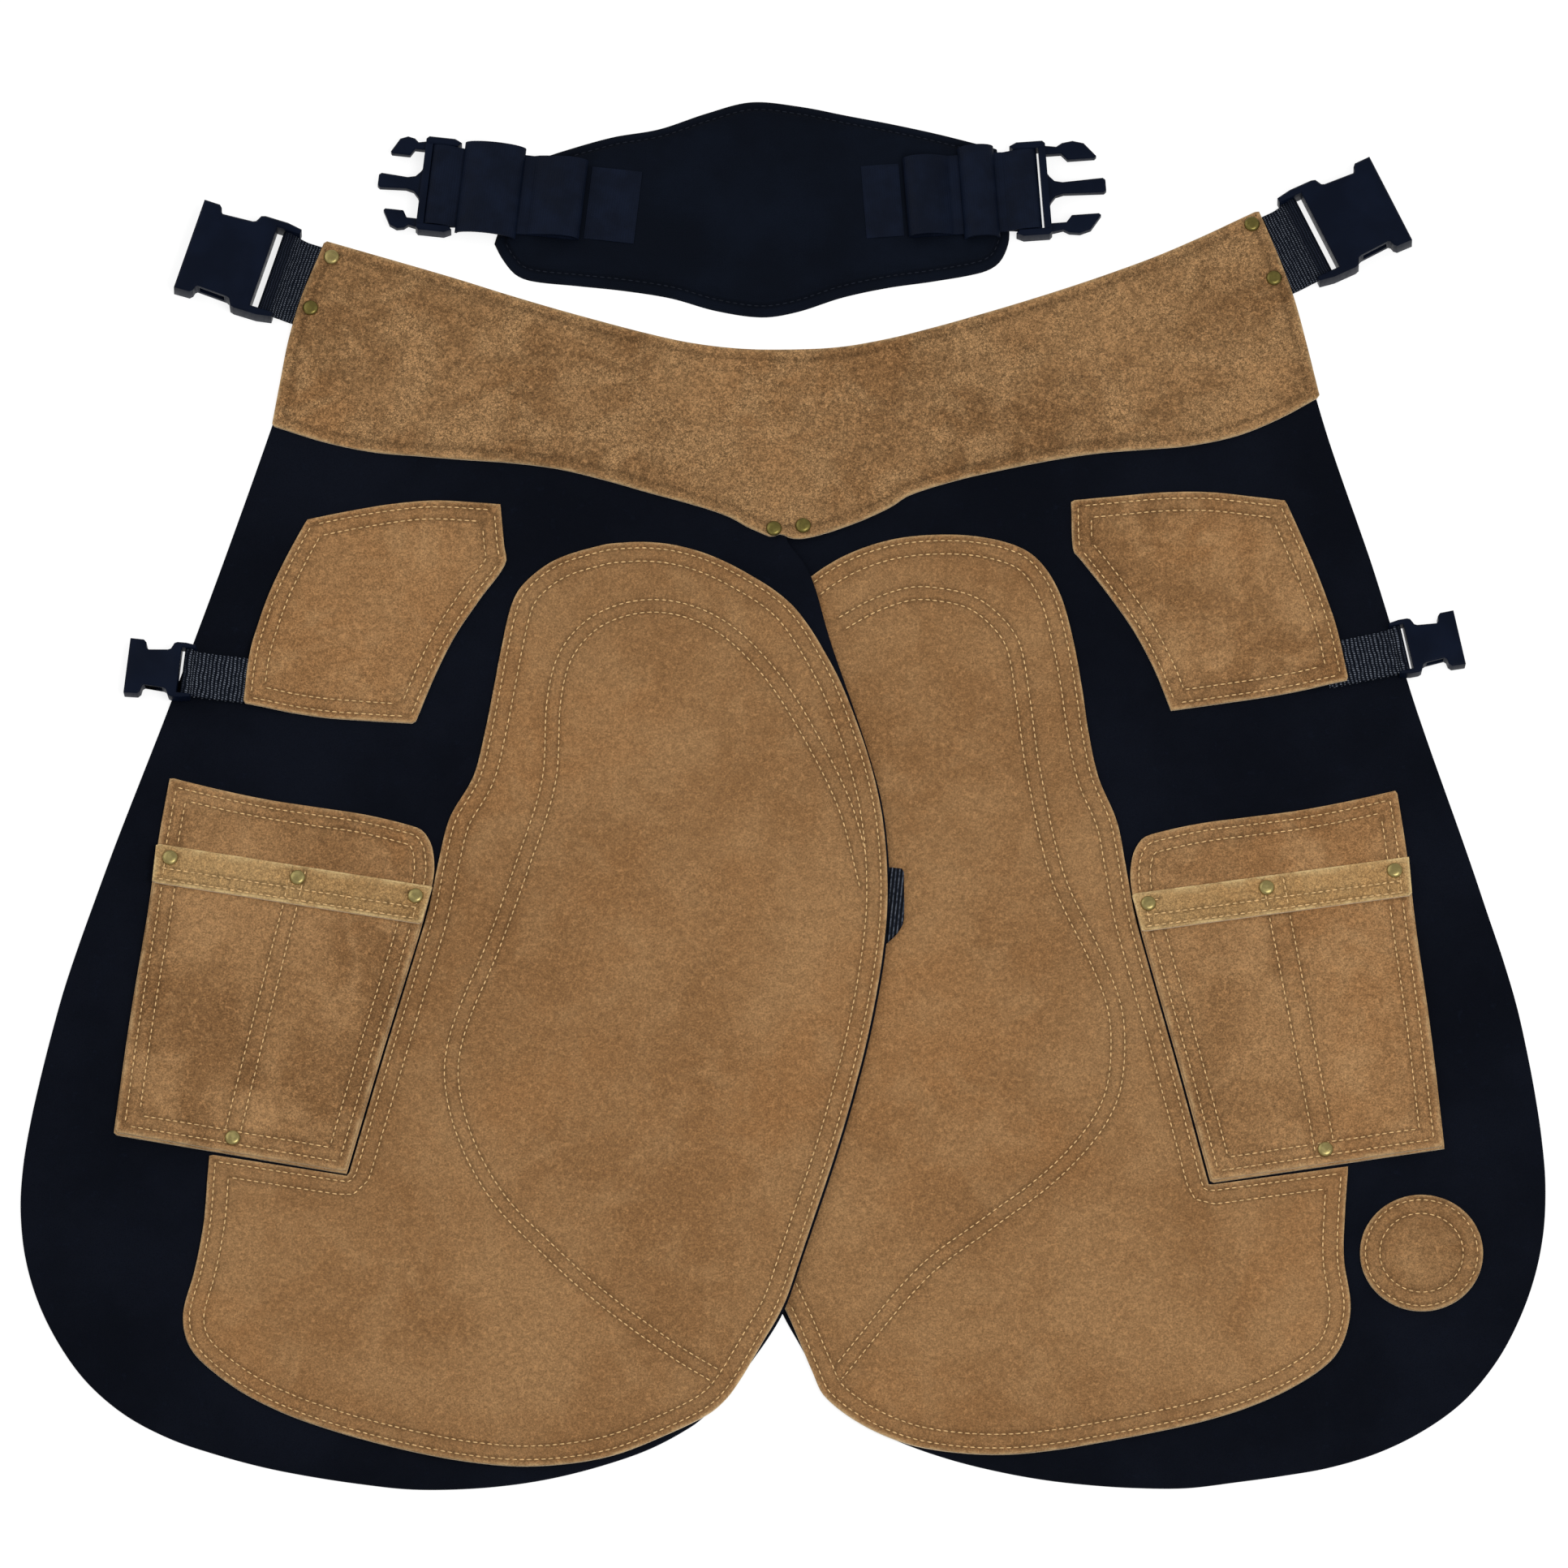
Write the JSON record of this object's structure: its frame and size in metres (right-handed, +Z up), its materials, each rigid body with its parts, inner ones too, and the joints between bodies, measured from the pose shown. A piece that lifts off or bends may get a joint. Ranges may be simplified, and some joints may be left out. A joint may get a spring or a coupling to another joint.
{
  "type": "blacksmith apron",
  "caption": "Split-leg leather work apron with suede knee pads, tool pockets, a magnet pouch, webbing straps with side-release buckles and a detached padded back belt, lying flat",
  "frame": {"origin": "middle of the footprint, on the floor", "axes": "+X to the wearer's left as shown, +Y to the waist and belt, +Z up out of the floor"},
  "size_m": [0.8426, 0.8182, 0.013],
  "materials": {
    "leather": "satin navy-black grain",
    "suede": "matt tan suede",
    "suede_band": "matt pale suede",
    "webbing": "matt woven webbing",
    "belt_cloth": "matt padded cloth",
    "plastic": "satin moulded",
    "brass": "antique"
  },
  "bodies": {
    "root": {"leg_panel_left": "leather", "leg_panel_right": "leather", "knee_pad_left": "suede", "knee_pad_right": "suede", "waist_yoke": "suede", "strap_patch_left": "suede", "strap_patch_right": "suede", "pocket_back_left": "suede", "pocket_front_left": "suede", "pocket_band_left": "suede_band", "pocket_rivet_left_outer": "brass", "pocket_rivet_left_middle": "brass", "pocket_rivet_left_inner": "brass", "pocket_rivet_left_base": "brass", "pocket_back_right": "suede", "pocket_front_right": "suede", "pocket_band_right": "suede_band", "pocket_rivet_right_outer": "brass", "pocket_rivet_right_middle": "brass", "pocket_rivet_right_inner": "brass", "pocket_rivet_right_base": "brass", "yoke_rivet_left_upper": "brass", "yoke_rivet_left_lower": "brass", "yoke_rivet_centre_left": "brass", "yoke_rivet_centre_right": "brass", "yoke_rivet_right_upper": "brass", "yoke_rivet_right_lower": "brass", "magnet_pouch": "suede", "elastic_loop": "webbing", "waist_strap_left": "webbing", "waist_buckle_left": "plastic", "waist_strap_right": "webbing", "waist_buckle_right": "plastic", "leg_strap_left": "webbing", "leg_buckle_left": "plastic", "leg_strap_right": "webbing", "leg_buckle_right": "plastic", "back_belt": "belt_cloth", "belt_buckle_left": "plastic", "belt_strap_left": "webbing", "belt_keeper_left": "webbing", "belt_patch_left": "webbing", "belt_buckle_right": "plastic", "belt_strap_right": "webbing", "belt_keeper_right": "webbing", "belt_patch_right": "webbing"}
  },
  "joints": []
}
